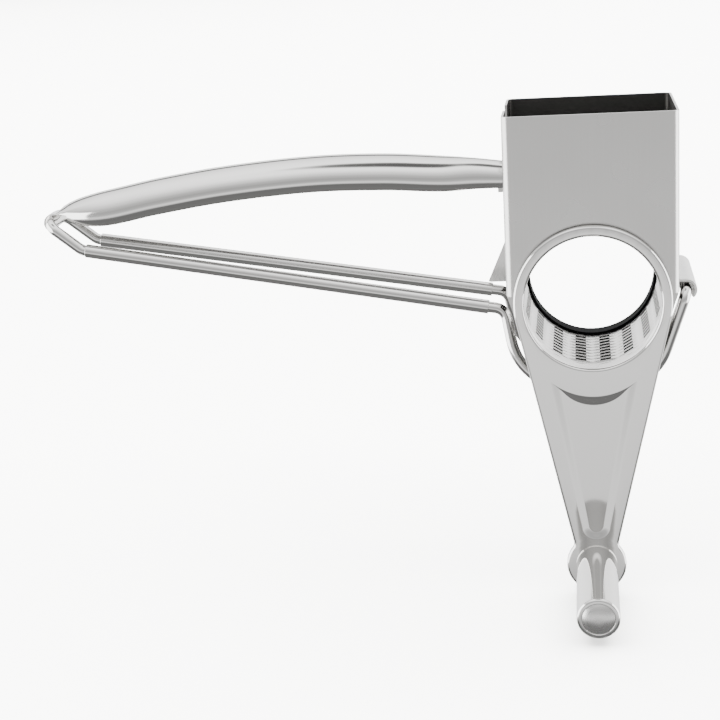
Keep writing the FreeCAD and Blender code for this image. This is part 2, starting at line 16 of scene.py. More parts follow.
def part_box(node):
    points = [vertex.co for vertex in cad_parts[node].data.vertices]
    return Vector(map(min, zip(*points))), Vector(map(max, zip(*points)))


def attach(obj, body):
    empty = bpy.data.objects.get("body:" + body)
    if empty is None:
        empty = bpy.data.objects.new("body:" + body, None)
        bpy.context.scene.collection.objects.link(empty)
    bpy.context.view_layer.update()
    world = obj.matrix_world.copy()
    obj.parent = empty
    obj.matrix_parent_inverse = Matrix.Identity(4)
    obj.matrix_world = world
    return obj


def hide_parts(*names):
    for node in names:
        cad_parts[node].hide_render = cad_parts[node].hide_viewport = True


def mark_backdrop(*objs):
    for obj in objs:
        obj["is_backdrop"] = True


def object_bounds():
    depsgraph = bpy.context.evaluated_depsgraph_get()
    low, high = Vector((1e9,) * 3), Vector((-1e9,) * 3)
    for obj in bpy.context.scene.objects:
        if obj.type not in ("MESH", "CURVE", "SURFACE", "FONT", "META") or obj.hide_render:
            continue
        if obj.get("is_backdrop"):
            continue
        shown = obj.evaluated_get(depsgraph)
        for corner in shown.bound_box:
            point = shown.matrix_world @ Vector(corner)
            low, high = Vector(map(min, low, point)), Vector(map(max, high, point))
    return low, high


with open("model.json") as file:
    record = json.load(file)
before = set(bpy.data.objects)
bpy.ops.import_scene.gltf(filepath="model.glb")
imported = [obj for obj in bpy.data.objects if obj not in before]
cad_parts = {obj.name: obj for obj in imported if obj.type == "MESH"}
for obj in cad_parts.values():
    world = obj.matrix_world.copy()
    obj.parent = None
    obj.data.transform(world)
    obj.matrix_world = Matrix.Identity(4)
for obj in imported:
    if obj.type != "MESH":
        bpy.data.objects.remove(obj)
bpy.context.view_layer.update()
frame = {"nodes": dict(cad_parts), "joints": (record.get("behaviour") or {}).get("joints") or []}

bl_info = {
    "name": "Rotary cheese grater",
    "version": (1, 0, 0),
    "blender": (4, 5, 0),
    "location": "View3D > Sidebar > Grater",
    "description": "Models the grater's steel parts and finishes, and lays out the studio",
    "category": "Object",
}

MM = 0.001
NEAR = 0.01 * MM  # two places this close are the same
ACROSS, DEPTH, UP = Vector((1, 0, 0)), Vector((0, 1, 0)), Vector((0, 0, 1))
JOINTS = {joint["name"]: joint for joint in frame["joints"]}
HINGE = Vector(JOINTS["handle_hinge"]["pos_m"])
KNOB_AXIS = Vector(JOINTS["knob_spin"]["pos_m"])


def linear(hex_colour):
    """An sRGB hex colour as linear red, green and blue."""
    channels = [int(hex_colour[place : place + 2], 16) / 255 for place in (1, 3, 5)]
    return [part / 12.92 if part <= 0.04045 else ((part + 0.055) / 1.055) ** 2.4 for part in channels]


def length(name, description, millimetres):
    """A length property, given in millimetres and kept in metres."""
    return FloatProperty(
        name=name, description=description, default=millimetres * MM, min=0.0, precision=5, unit="LENGTH"
    )


def colour(name, description, hex_colour):
    """A colour property, given as an sRGB hex colour."""
    return FloatVectorProperty(
        name=name, description=description, default=linear(hex_colour), min=0.0, max=1.0, subtype="COLOR"
    )


class HopperSizes(bpy.types.PropertyGroup):
    """Sizes of the hopper, its housing rings and its hook."""

    foot: length("Foot of the walls", "Height at which the four walls end", 2.3)
    sheet: length("Sheet", "Thickness of the hopper's sheet", 0.8)
    corner: length("Corner radius", "Outside radius of the upright corners", 2.5)
    tangent_x: length("Cheek foot", "Half width of a cheek where it meets its ring", 24.43)
    tangent_drop: length("Cheek drop", "Depth below the axis at which a cheek meets its ring", 8.9)
    front_hole: length("Front hole", "Radius of the hole that the drum goes through", 24.5)
    rear_hole: length("Rear hole", "Radius of the hole that the bearing ring sits in", 24.95)
    slot_half: length("Slot half width", "Half width of the slot that the handle passes through", 7.0)
    slot_foot: length("Slot foot", "Height of the slot's lower end", 32.0)
    edge: length("Edge rounding", "Rounding left on the sheet's edges by deburring", 0.12)
    hook_sheet: length("Hook sheet", "Thickness of the hook", 1.0)
    hook_edge: length("Hook edge", "Rounding of the hook's edges", 0.25)


class WireSizes(bpy.types.PropertyGroup):
    """Sizes of the wire frame and its sleeves."""

    radius: length("Wire radius", "Radius of the frame's wire", 1.9)
    leg_left: length("Left leg spacing", "Distance of a leg from the middle, at the hinge", 9.2)
    leg_right: length("Right leg spacing", "Distance of a leg from the middle, at the hopper", 12.5)
    sleeve: length("Sleeve radius", "Outside radius of the sleeves on the legs", 2.38)
    sleeve_wall: length("Sleeve wall", "Wall of the sleeves on the legs", 0.4)
    sleeve_edge: length("Sleeve edge", "Rounding of the sleeves' ends", 0.15)
    sides: IntProperty(name="Sides", description="Facets round the wire", default=24, min=8, max=64)


class HandleSizes(bpy.types.PropertyGroup):
    """Sizes of the press handle."""

    sheet: length("Sheet", "Thickness of the handle's sheet", 0.9)
    curl: length("Curl radius", "Outside radius of the curl round the hinge bar", 3.3)
    step: length("Section step", "Distance between two modelled sections", 2.5)
    edge: length("Edge rounding", "Rounding of the sheet's edges", 0.3)


class DrumSizes(bpy.types.PropertyGroup):
    """Sizes of the grating drum, its collar and its bearing ring."""

    inner: length("Inner radius", "Inside radius of the drum", 23.0)
    sheet: length("Sheet", "Thickness of the drum's sheet", 0.5)
    columns: IntProperty(name="Columns", description="Columns of teeth round the drum", default=17, min=4)
    rows: IntProperty(name="Rows", description="Teeth in a column", default=9, min=1)
    pitch: length("Pitch", "Distance between the teeth of a column", 3.5)
    first: length("First tooth", "Distance of the first tooth from the drum's front edge", 3.6)
    tooth_long: length("Tooth length", "Length of a tooth round the drum, outside", 4.3)
    tooth_wide: length("Tooth width", "Width of a tooth along the drum, outside", 2.5)
    tooth_rise: length("Tooth rise", "Height of a tooth's lip over the sheet", 0.65)
    ring_bore: length("Ring bore", "Radius of the bearing ring's opening", 22.1)


class CrankSizes(bpy.types.PropertyGroup):
    """Sizes of the crank plate."""

    ring: length("Ring radius", "Outside radius of the plate's ring", 26.2)
    tangent_x: length("Arm head", "Half width of the arm where it leaves the ring", 25.56)
    tangent_drop: length("Arm head drop", "Depth below the axis at which the arm leaves the ring", 5.76)
    neck_half: length("Neck half width", "Half width of the arm where it meets its ear", 7.4)
    neck_drop: length("Neck drop", "Depth of the neck below the drum's axis", 86.38)
    neck_bend: length("Neck bend", "Length of the curve that eases the neck's corners", 1.6)
    edge: length("Edge roll", "Rounding of the plate's edges", 0.9)
    mouth: length("Mouth radius", "Radius of the hole in front of the drum", 22.6)
    dish_depth: length("Dish depth", "Depth of the pressed dish in the arm", 0.75)
    dish_head: length("Dish head", "Half width of the dish at its upper end", 14.8)
    dish_head_drop: length("Dish head drop", "Depth of the dish's upper corners below the axis", 26.4)
    dish_sag: length("Dish sag", "How far the dish's upper edge sags between its corners", 5.5)
    dish_foot: length("Dish foot", "Half width of the dish at its lower end", 5.2)
    dish_foot_drop: length("Dish foot drop", "Depth of the dish's lower corners below the axis", 79.0)
    dish_wall: length("Dish wall", "Width of the dish's sloping wall", 3.0)


class KnobSizes(bpy.types.PropertyGroup):
    """Sizes of the knob."""

    radius: length("Radius", "Outside radius of the grip", 7.0)
    wall: length("Wall", "Wall of the grip's tube", 0.8)
    shoulder: length("Shoulder", "Rounding of the grip's front edge", 0.9)
    lip: length("Lip radius", "Radius of the opening that the cap stands in", 5.4)


class FinishColours(bpy.types.PropertyGroup):
    """Colours of the finishes."""

    polished: colour("Polished steel", "Colour of the mirror-polished stainless steel", "#D6D5D3")
    satin: colour("Satin steel", "Colour of the satin stainless steel", "#C9C8C6")
    # Painted shade: this dark grey stands for the shade inside the hopper, not for a different steel.
    mill: colour("Mill steel", "Colour of the unpolished steel inside the hopper", "#4A4947")
    rolled: colour("Rolled steel", "Colour of the bright rolled stainless steel", "#DAD9D7")
    # Painted shade: this near black stands for the shadow in the drum's tooth hollows, not for the colour
    # of punched edges.
    sheared: colour("Sheared steel", "Colour of the punched edges", "#2E2D2B")
    moulded: colour("Moulded black", "Colour of the bearing ring's plastic", "#0B0B0C")
    liner: colour("Liner", "Colour of the knob liner's plastic", "#D9D5CB")
    floor: colour("Floor", "Colour of the floor", "#F4F4F2")


class StageSettings(bpy.types.PropertyGroup):
    """The studio."""

    clearance: length("Clearance", "Gap between the grater's lowest point and the floor", 0.3)
    softbox: FloatProperty(
        name="Softbox", description="Power of the overhead softbox", default=2900.0, unit="POWER"
    )
    surround: FloatProperty(name="Surround", description="Brightness of the studio's walls", default=3.0)


# ---------------------------------------------------------------- modelling by hand


def clear_selection():
    """Leaves edit mode and selects nothing."""
    if bpy.context.mode != "OBJECT":
        bpy.ops.object.mode_set(mode="OBJECT")
    bpy.ops.object.select_all(action="DESELECT")


def start_editing(name):
    """Names the object just added, moves its place into its mesh and opens it with all selected."""
    piece = bpy.context.object
    piece.name = piece.data.name = name
    bpy.ops.object.transform_apply(location=True, rotation=True, scale=True)
    bpy.ops.object.mode_set(mode="EDIT")
    bpy.ops.mesh.select_mode(type="VERT")
    bpy.ops.mesh.select_all(action="SELECT")
    return piece


def ring_of_edges(name, place, along, radius, sides):
    """An open circle round a line, open for editing and selected."""
    clear_selection()
    turn = along.to_track_quat("Z", "X").to_euler()
    bpy.ops.mesh.primitive_circle_add(vertices=sides, radius=radius, location=place, rotation=turn)
    return start_editing(name)


def middle(item):
    """The middle of an edge or a face."""
    return sum((vertex.co for vertex in item.verts), Vector()) / len(item.verts)


def pick(kind, test):
    """In edit mode, selects the vertices, edges or faces that pass a test."""
    bpy.ops.mesh.select_all(action="DESELECT")
    bpy.ops.mesh.select_mode(type=kind)
    mesh = bmesh.from_edit_mesh(bpy.context.edit_object.data)
    for item in {"VERT": mesh.verts, "EDGE": mesh.edges, "FACE": mesh.faces}[kind]:
        if test(item):
            item.select_set(True)
    mesh.select_flush_mode()
    bmesh.update_edit_mesh(bpy.context.edit_object.data)


def extrude(step):
    """Extrudes the selection by a step."""
    bpy.ops.mesh.extrude_region_move(TRANSFORM_OT_translate={"value": step})


def draw_circle(y, radius, sides):
    """In edit mode, draws an open circle round the drum's axis."""
    turn = (math.pi / 2, 0, 0)
    bpy.ops.mesh.primitive_circle_add(vertices=sides, radius=radius, location=(0, y, 0), rotation=turn)


def resize(value, centre):
    """Scales the selection about a point."""
    bpy.ops.transform.resize(value=value, center_override=centre)


def swing(centre, axis, angle, steps):
    """Spins the selection about an axis by the right-hand rule; spin itself turns the other way."""
    bpy.ops.mesh.spin(steps=steps, angle=-angle, center=centre, axis=axis)


def draw(start, *moves):
    """In edit mode, draws a line through points and through arcs of (centre, axis, angle, steps)."""
    bpy.ops.mesh.select_mode(type="VERT")
    bpy.ops.mesh.select_all(action="DESELECT")
    bpy.ops.mesh.primitive_plane_add(size=MM, location=start)
    bpy.ops.mesh.merge(type="CENTER")
    here = start
    for move in moves:
        if isinstance(move, Vector):
            bpy.ops.mesh.extrude_vertices_move(TRANSFORM_OT_translate={"value": move - here})
            here = move
        else:
            centre, axis, angle, steps = move
            swing(centre, axis, angle, steps)
            here = centre + Matrix.Rotation(angle, 3, axis) @ (here - centre)


def empty_mesh(name):
    """A mesh with nothing in it yet, open for editing."""
    clear_selection()
    bpy.ops.mesh.primitive_plane_add(size=MM)
    piece = start_editing(name)
    bpy.ops.mesh.delete(type="VERT")
    return piece


def mirrored(point):
    """The same point on the other side of X = 0."""
    return Vector((-point.x, point.y, point.z))


def at_depth(item, y):
    """True of an edge or a face that lies at a depth."""
    return all(abs(vertex.co.y - y) < NEAR for vertex in item.verts)


def is_open(item):
    """True of an edge with a face on one side or on none."""
    return len(item.link_faces) < 2


def merge_all(distance):
    """In edit mode, merges everything that is closer than a distance, and leaves all selected."""
    bpy.ops.mesh.select_all(action="SELECT")
    bpy.ops.mesh.remove_doubles(threshold=distance)


def close_up():
    """Merges doubles and points every face outwards."""
    bpy.ops.mesh.select_mode(type="VERT")
    merge_all(0.002 * MM)
    bpy.ops.mesh.normals_make_consistent(inside=False)


def choose(piece):
    """Selects one piece alone and makes it active."""
    clear_selection()
    bpy.context.view_layer.objects.active = piece
    piece.select_set(True)


def modify(piece, kind, **settings):
    """Adds a modifier with its settings and applies it, and leaves the piece chosen."""
    choose(piece)
    bpy.ops.object.modifier_add(type=kind)
    modifier = piece.modifiers[-1]
    for setting, value in settings.items():
        setattr(modifier, setting, value)
    bpy.ops.object.modifier_apply(modifier=modifier.name)


def round_edges(piece, width, angle=60):
    """Rounds the edges that turn by more than an angle."""
    modify(piece, "BEVEL", width=width, segments=3, limit_method="ANGLE", angle_limit=math.radians(angle))


def finish_piece(piece, body, node, finish=None, smooth=30):
    """Shades a piece, gives it its finish, and hands it to its body and the node it stands for."""
    choose(piece)
    bpy.ops.object.shade_smooth_by_angle(angle=math.radians(smooth))
    modify(piece, "WEIGHTED_NORMAL", keep_sharp=True)
    if finish:
        piece.data.materials.append(finish_named(finish))
    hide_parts(node)
    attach(piece, body)


def turn_up(name, centre, profile, sides=96, hollow=True):
    """Builds a piece turned about Y, ring by ring, from a profile of (radius, Y) points."""
    radius, y = profile[0]
    piece = ring_of_edges(name, centre + y * DEPTH, DEPTH, radius, sides)
    for next_radius, next_y in profile[1:] + (profile[:1] if hollow else []):
        extrude((next_y - y) * DEPTH)
        scale = next_radius / radius
        resize((scale, 1, scale), centre + next_y * DEPTH)
        radius, y = next_radius, next_y
    if not hollow:
        pick("EDGE", lambda edge: edge.is_boundary)
        bpy.ops.mesh.fill_holes(sides=0)
    close_up()
    return piece


def rounded(corners, radius, steps=4):
    """A closed profile with each of its corners rounded by an arc."""
    points = [Vector(corner) for corner in corners]
    result = []
    for index, corner in enumerate(points):
        back = (points[index - 1] - corner).normalized()
        ahead = (points[(index + 1) % len(points)] - corner).normalized()
        half = back.angle(ahead) / 2
        reach = radius / math.tan(half)
        centre = corner + (back + ahead).normalized() * radius / math.sin(half)
        first, last = corner + back * reach - centre, corner + ahead * reach - centre
        for step in range(steps + 1):
            spoke = first.lerp(last, step / steps).normalized() * radius
            result.append(tuple(centre + spoke))
    return result


# ---------------------------------------------------------------- finishes


def add_node(tree, kind, settings=None, **inputs):
    """Adds a node, with its settings, and its inputs as values or as links from other nodes."""
    node = tree.nodes.new(kind)
    for setting, value in (settings or {}).items():
        setattr(node, setting, value)
    for name, value in inputs.items():
        socket = node.inputs[name.replace("_", " ")]
        if isinstance(value, bpy.types.NodeSocket):
            tree.links.new(value, socket)
        else:
            socket.default_value = value
    return node


EVERY_WAY = (1, 1, 1)
NOISE_LOW, NOISE_HIGH = 0.3, 0.7  # the range that a noise mostly keeps to

# Each finish: its colour, how much of it the darkest spots keep, and the pattern of its tint, as
# (size in mm, detail, how it is drawn out along the axes). Its gloss and its bump follow that
# pattern or their own. Its roughness runs between two values, and its bump's depth is in mm.
FINISHES = {
    # Buffing leaves a sharp reflection that swims a little over the last waves in the sheet, and a
    # faint haze that comes and goes over a few centimetres.
    "mirror_polished_stainless": dict(
        base="polished", darker=0.96, tint=(30, 3.0, EVERY_WAY), roughness=(0.05, 0.11),
        bump=(14, 1.0, EVERY_WAY), depth=0.03, Metallic=1.0,
    ),
    # Satin brushing up and down leaves fine upright scratches, which spread highlights into soft
    # even greys. Real ones are about 0.05 mm across, drawn here at 0.3 mm, the finest that shows.
    "satin_brushed_stainless": dict(
        base="satin", darker=0.95, tint=(0.3, 2.0, (1, 1, 0.008)), gloss=(25, 2.0, EVERY_WAY),
        roughness=(0.26, 0.32), depth=0.002, Metallic=1.0,
    ),
    # Painted shade: the inside of the hopper is painted a dull, even dark grey for the shade that fills it.
    "mill_finished_stainless": dict(
        base="mill", darker=0.85, tint=(0.6, 3.0, EVERY_WAY), roughness=(0.4, 0.5), depth=0.004,
        Metallic=1.0,
    ),
    # Cold rolling leaves a bright, slightly milky surface with fine lines round the drum.
    "bright_rolled_stainless": dict(
        base="rolled", darker=0.94, tint=(0.5, 2.0, (0.04, 1, 0.04)), roughness=(0.2, 0.3),
        depth=0.004, Metallic=1.0,
    ),
    # Painted shade: the teeth's insides, seen from inside the drum, are painted dull and much darker than
    # the sheet for the shadow behind each raised tooth.
    "sheared_stainless": dict(
        base="sheared", darker=0.6, tint=(0.4, 3.0, EVERY_WAY), roughness=(0.45, 0.65), depth=0.02,
        Metallic=1.0,
    ),
    # The mould's fine spark-eroded grain turns the acetal's gloss into a low, even sheen.
    "moulded_black_acetal": dict(
        base="moulded", darker=0.7, tint=(0.35, 2.0, EVERY_WAY), roughness=(0.6, 0.75), depth=0.01,
        IOR=1.48, Specular_IOR_Level=0.02,
    ),
    # Natural nylon is milky and slightly waxy.
    "moulded_natural_nylon": dict(
        base="liner", darker=0.92, tint=(0.5, 2.0, EVERY_WAY), roughness=(0.35, 0.5), depth=0.01,
        IOR=1.53,
    ),
    # Studio paper is matt, with a faint shade from its fibres.
    "matt_pale_floor": dict(
        base="floor", darker=0.99, tint=(2, 2.0, EVERY_WAY), Roughness=0.9, Specular_IOR_Level=0.0
    ),
}


def make_finish(name, base, darker, tint, gloss=None, roughness=None, bump=None, depth=None, **inputs):
    """Makes a finish, whose patterns shade its colour, vary its gloss and raise its bump."""
    material = bpy.data.materials.new(name)
    material.use_nodes = True
    tree = material.node_tree
    tree.nodes.clear()
    place = add_node(tree, "ShaderNodeTexCoord").outputs["Object"]
    gloss, bump = gloss or tint, bump or tint
    fields = {}
    for pattern in dict.fromkeys((tint, gloss, bump)):
        size, detail, drawn_out = pattern
        repeats = [part / (size * MM) for part in drawn_out]
        mapping = add_node(tree, "ShaderNodeMapping", Vector=place, Scale=repeats).outputs["Vector"]
        noise = add_node(tree, "ShaderNodeTexNoise", Vector=mapping, Scale=1.0, Detail=detail)
        fields[pattern] = noise.outputs["Fac"]
    light = list(getattr(bpy.context.scene.grater_colours, base))
    ends = {"A": [part * darker for part in light] + [1], "B": light + [1]}
    mix = add_node(tree, "ShaderNodeMix", {"data_type": "RGBA"}, Factor=fields[tint], **ends)
    inputs["Base_Color"] = mix.outputs["Result"]
    if roughness:
        ends = {"From_Min": NOISE_LOW, "From_Max": NOISE_HIGH}
        ends["To_Min"], ends["To_Max"] = roughness
        spread = add_node(tree, "ShaderNodeMapRange", Value=fields[gloss], **ends)
        inputs["Roughness"] = spread.outputs["Result"]
    if depth:
        raised = add_node(tree, "ShaderNodeBump", Height=fields[bump], Distance=depth * MM, Strength=1.0)
        inputs["Normal"] = raised.outputs["Normal"]
    shader = add_node(tree, "ShaderNodeBsdfPrincipled", **inputs)
    add_node(tree, "ShaderNodeOutputMaterial", Surface=shader.outputs["BSDF"])
    return material


def finish_named(name):
    """A finish, made the first time that it is asked for."""
    return bpy.data.materials.get(name) or make_finish(name, **FINISHES[name])


# ---------------------------------------------------------------- the pieces


class GRATER_OT_hopper(bpy.types.Operator):
    """Models the sheet hopper: four walls, and two cheeks that run down into rings."""

    bl_idname = "grater.hopper"
    bl_label = "Hopper"

    def execute(self, context):
        sizes = context.scene.grater_hopper
        low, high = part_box("hopper_shell")
        flat_x, flat_y = high.x - sizes.corner, high.y - sizes.corner
        drop, reach = sizes.tangent_drop, sizes.tangent_x
        below = math.pi - 2 * math.atan2(drop, reach)
        cheek_inset = 0.4 * MM
        shell = empty_mesh("hopper")

        # front and rear walls, each with its cheeks, its ring and the hole for the drum
        for y, hole in ((low.y, sizes.front_hole), (high.y, sizes.rear_hole)):
            top, hip = Vector((flat_x, y, high.z)), Vector((flat_x, y, sizes.foot))
            cheek, tangent = Vector((high.x - cheek_inset, y, sizes.foot)), Vector((reach, y, -drop))
            arc = (Vector((0, y, 0)), DEPTH, below, 48)
            right_side = (top, hip, cheek, tangent)
            draw(mirrored(top), *right_side, arc, mirrored(cheek), mirrored(hip), mirrored(top))
            draw_circle(y, hole, 128)
            pick("EDGE", lambda edge: at_depth(edge, y))
            bpy.ops.mesh.remove_doubles(threshold=0.005 * MM)
            pick("EDGE", lambda edge: at_depth(edge, y))
            bpy.ops.mesh.fill(use_beauty=True)

        # rounded corners, spun from the upright edges, and the two side walls between them
        for x_side in (-1, 1):
            for y_side in (-1, 1):
                x, y = x_side * flat_x, y_side * high.y

                def upright(edge):
                    place = middle(edge)
                    tall = abs((edge.verts[0].co - edge.verts[1].co).z) > 0.5 * high.z
                    return tall and abs(place.x - x) + abs(place.y - y) < NEAR

                pick("EDGE", upright)
                swing(Vector((x, y_side * flat_y, 0)), UP, -x_side * y_side * math.pi / 2, 8)
        for x, z in ((high.x, high.z), (high.x, sizes.foot), (low.x, sizes.foot)):
            draw(Vector((x, flat_y, z)), Vector((x, -flat_y, z)))
        half, sill, bend = sizes.slot_half, sizes.slot_foot, 2 * MM
        draw(
            Vector((low.x, -flat_y, high.z)),
            Vector((low.x, -half, high.z)),
            Vector((low.x, -half, sill + bend)),
            (Vector((low.x, bend - half, sill + bend)), ACROSS, math.pi / 2, 5),
            Vector((low.x, half - bend, sill)),
            (Vector((low.x, half - bend, sill + bend)), ACROSS, math.pi / 2, 5),
            Vector((low.x, half, high.z)),
            Vector((low.x, flat_y, high.z)),
        )
        merge_all(0.005 * MM)
        for x in (low.x, high.x):
            pick("EDGE", lambda edge: is_open(edge) and all(abs(v.co.x - x) < NEAR for v in edge.verts))
            bpy.ops.mesh.edge_face_add()
        close_up()
        # the inside faces take the second finish, a dark grey that is painted shade for the hopper's dim
        # inside
        for finish in ("satin_brushed_stainless", "mill_finished_stainless"):
            shell.data.materials.append(finish_named(finish))
        modify(shell, "SOLIDIFY", thickness=sizes.sheet, offset=-1, use_even_offset=True, material_offset=1)
        bpy.ops.object.mode_set(mode="EDIT")
        rim = high.z - NEAR
        pick("EDGE", lambda e: all(v.co.z > rim for v in e.verts) and e.calc_face_angle(0) > 1)
        bpy.ops.mesh.bevel(offset=sizes.edge, segments=2, affect="EDGES")
        finish_piece(shell, "frame", "hopper_shell")
        return {"FINISHED"}


class GRATER_OT_hook(bpy.types.Operator):
    """Models the hook that reaches from the right wall over the frame's crossbar."""

    bl_idname = "grater.hook"
    bl_label = "Hook"

    def execute(self, context):
        sizes = context.scene.grater_hopper
        low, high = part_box("hook_plate")
        bar_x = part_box("wire_frame")[1].x - context.scene.grater_wire.radius
        radius = high.x - bar_x
        centre = Vector((bar_x, 0, high.z - radius))
        flat = ((low.x + bar_x) / 2, 0, high.z)
        clear_selection()
        bpy.ops.mesh.primitive_plane_add(size=1, location=flat)
        hook = start_editing("hook")
        resize((bar_x - low.x, high.y - low.y, 1), flat)
        pick("EDGE", lambda edge: middle(edge).x > bar_x - NEAR)
        lip = math.asin((centre.z - low.z) / radius)
        swing(centre, DEPTH, math.pi / 2 + lip, 20)
        close_up()
        modify(hook, "SOLIDIFY", thickness=sizes.hook_sheet, offset=-1)
        round_edges(hook, sizes.hook_edge)
        finish_piece(hook, "frame", "hook_plate", "bright_rolled_stainless")
        return {"FINISHED"}


# Corners of the wire frame in mm: X and height of the knee by the hinge and of the hip by the hopper,
# the cradle's two ends and its foot, and the height of the bar under the hook.
KNEE, HIP = (-178.0, 19.45), (-29.5, -4.75)
CRADLE_LEFT, CRADLE_RIGHT, CRADLE_FOOT = -24.8, 19.9, -31.0
BAR_HEIGHT = 1.9
BENDS = (3.4, 5.0, 4.5, 19.0, 19.0, 3.6)  # radii, from the hinge bar round to the bar under the hook


def frame_corners(sizes):
    """Corners of the front half of the wire frame, from the hinge bar to the bar under the hook."""
    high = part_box("wire_frame")[1]
    bar_x, cradle_y = high.x - sizes.radius, high.y - sizes.radius
    return [
        HINGE,
        HINGE - sizes.leg_left * DEPTH,
        Vector((KNEE[0] * MM, -sizes.leg_left, KNEE[1] * MM)),
        Vector((HIP[0] * MM, -sizes.leg_right, HIP[1] * MM)),
        Vector((CRADLE_LEFT * MM, -(sizes.leg_right + cradle_y) / 2, CRADLE_FOOT * MM)),
        Vector((CRADLE_RIGHT * MM, -cradle_y + MM, CRADLE_FOOT * MM)),
        Vector((bar_x, -cradle_y, BAR_HEIGHT * MM)),
        Vector((bar_x, 0, BAR_HEIGHT * MM)),
    ]


class GRATER_OT_wire_frame(bpy.types.Operator):
    """Bends the wire frame out of one ring of edges, and slides the two sleeves on to its legs."""

    bl_idname = "grater.wire_frame"
    bl_label = "Wire frame and sleeves"

    def execute(self, context):
        sizes = context.scene.grater_wire
        points = frame_corners(sizes)
        wire = ring_of_edges("wire", points[0], points[1] - points[0], sizes.radius, sizes.sides)
        here = points[0]
        for before, corner, after, bend in zip(points, points[1:], points[2:], BENDS):
            radius = bend * MM
            inward, outward = (corner - before).normalized(), (after - corner).normalized()
            turn = inward.angle(outward)
            reach = radius * math.tan(turn / 2)
            axis = inward.cross(outward).normalized()
            bend_start = corner - inward * reach
            extrude(bend_start - here)
            swing(bend_start + axis.cross(inward) * radius, axis, turn, max(4, round(turn * 10)))
            here = corner + outward * reach
        extrude(points[-1] - here)
        resize((1, 0, 1), points[-1])
        close_up()
        modify(wire, "MIRROR", use_axis=(False, True, False), merge_threshold=0.01 * MM)
        finish_piece(wire, "frame", "wire_frame", "mirror_polished_stainless")

        knee, hip = points[2], points[3]
        along = (hip - knee).normalized()
        low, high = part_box("front_sleeve")
        tilt = sizes.sleeve * math.sqrt(1 - along.x**2)
        start = knee + along * ((low.x + tilt - knee.x) / along.x)
        end = knee + along * ((high.x - tilt - knee.x) / along.x)
        for node, side in (("front_sleeve", 1), ("rear_sleeve", -1)):
            flip = Vector((1, side, 1))
            sleeve = ring_of_edges(node + "_tube", start * flip, (end - start) * flip, sizes.sleeve, 32)
            extrude((end - start) * flip)
            close_up()
            modify(sleeve, "SOLIDIFY", thickness=sizes.sleeve_wall, offset=-1)
            round_edges(sleeve, sizes.sleeve_edge)
            finish_piece(sleeve, "frame", node, "mirror_polished_stainless")
        return {"FINISHED"}


# Press handle: position along X, lower edge, crown height and half width of each section, in mm.
HANDLE_SECTIONS = [
    (-24.5, 35.8, 7.8, 5.9), (-38.0, 35.9, 9.6, 6.6), (-50.0, 35.8, 10.9, 9.2),
    (-70.0, 37.1, 11.1, 10.2), (-95.0, 37.2, 11.1, 10.4), (-125.0, 34.8, 11.3, 10.4),
    (-150.0, 31.1, 11.6, 10.2), (-166.0, 28.1, 11.6, 10.0), (-174.0, 27.7, 10.4, 9.3),
    (-181.5, 28.6, 7.4, 7.6), (-186.0, 30.4, 3.5, 5.6), (-188.2, 31.4, 0.55, 5.4),
]


def between_sections(x):
    """The handle's section at any X, on a smooth curve through the listed ones."""
    last = len(HANDLE_SECTIONS) - 2
    index = next((i for i in range(last) if x >= HANDLE_SECTIONS[i + 1][0]), last)
    rows = [HANDLE_SECTIONS[min(max(index + shift, 0), last + 1)] for shift in (-1, 0, 1, 2)]
    before_x, first_x, second_x, after_x = (row[0] for row in rows)
    span = second_x - first_x
    share = (x - first_x) / span
    result = []
    for before, first, second, after in list(zip(*rows))[1:]:
        slope_in = (second - before) / (second_x - before_x) * span
        slope_out = (after - first) / (after_x - first_x) * span
        result.append(
            (2 * share**3 - 3 * share**2 + 1) * first
            + (share**3 - 2 * share**2 + share) * slope_in
            + (3 * share**2 - 2 * share**3) * second
            + (share**3 - share**2) * slope_out
        )
    return result


class GRATER_OT_handle(bpy.types.Operator):
    """Models the press handle: an arched shell that flattens into a tongue curled round the hinge."""

    bl_idname = "grater.handle"
    bl_label = "Press handle"

    def execute(self, context):
        sizes = context.scene.grater_handle
        start_x, end_x = HANDLE_SECTIONS[0][0], HANDLE_SECTIONS[-1][0]
        count = round((start_x - end_x) * MM / sizes.step)
        x = start_x
        foot, crown, half = between_sections(x)
        turned_in, lips_end = 0.5, -185.0  # depth of the turned-in lips, and the X where they stop
        shell = ring_of_edges("handle", Vector(), ACROSS, 1.0, 64)
        pick("VERT", lambda vertex: vertex.co.z < -turned_in - 0.001)
        bpy.ops.mesh.delete(type="VERT")
        bpy.ops.mesh.select_all(action="SELECT")
        low_z = min(vertex.co.z for vertex in bmesh.from_edit_mesh(shell.data).verts)
        bpy.ops.transform.translate(value=(x * MM, 0, foot * MM - low_z))
        resize((1, half * MM, crown * MM / (1 - low_z)), Vector((x, 0, foot)) * MM)
        for step in range(1, count + 1):
            next_x = start_x + (end_x - start_x) * step / count
            next_foot, next_crown, next_half = between_sections(next_x)
            if next_x < lips_end <= x:
                last_x, sill = x * MM, (foot + crown / 3) * MM
                pick("EDGE", lambda e: all(v.co.x < last_x + NEAR and v.co.z > sill for v in e.verts))
            extrude(Vector((next_x - x, 0, next_foot - foot)) * MM)
            resize((1, next_half / half, next_crown / crown), Vector((next_x, 0, next_foot)) * MM)
            x, foot, crown, half = next_x, next_foot, next_crown, next_half
        curl_start, curl_turn = math.radians(100), math.radians(150)
        top = HINGE + sizes.curl * Vector((math.cos(curl_start), 0, math.sin(curl_start)))
        extrude(Vector((top.x - x * MM, 0, top.z - (foot + crown) * MM)))
        swing(HINGE, -DEPTH, curl_turn, 20)
        close_up()
        modify(shell, "SOLIDIFY", thickness=sizes.sheet, offset=-1)
        round_edges(shell, sizes.edge, 50)
        finish_piece(shell, "press", "press_handle", "mirror_polished_stainless", 40)
        return {"FINISHED"}


